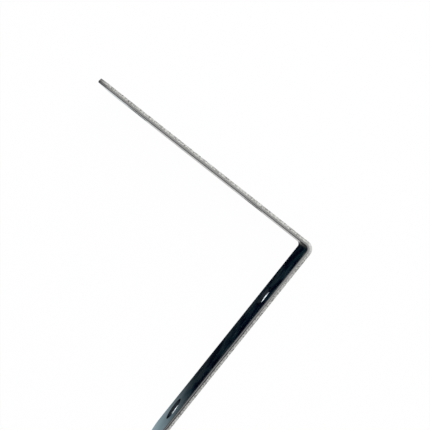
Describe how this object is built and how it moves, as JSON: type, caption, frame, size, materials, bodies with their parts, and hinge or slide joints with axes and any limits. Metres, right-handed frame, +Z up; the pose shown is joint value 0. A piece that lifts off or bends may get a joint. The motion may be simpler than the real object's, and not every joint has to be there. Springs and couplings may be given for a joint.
{
  "type": "steel angle bracket",
  "caption": "Steel angle bar for fixing corners: a flat strip with rounded corners, bent once to a right angle, with countersunk screw holes in both legs.",
  "frame": {"origin": "the heel's sharp outer corner, where the planes of the two outer faces and the plane of the lower edge meet", "axes": "+X along one leg, +Y along the other, both from the heel to the tip; +Z up across the strip's width, from the edge it lies on to the upper edge"},
  "size_m": [0.09, 0.09, 0.019],
  "materials": {
    "plated_steel": "bright zinc plate, smooth faces and coarser sheared edges"
  },
  "bodies": {
    "root": {"angle_bracket": "plated_steel"}
  },
  "joints": []
}
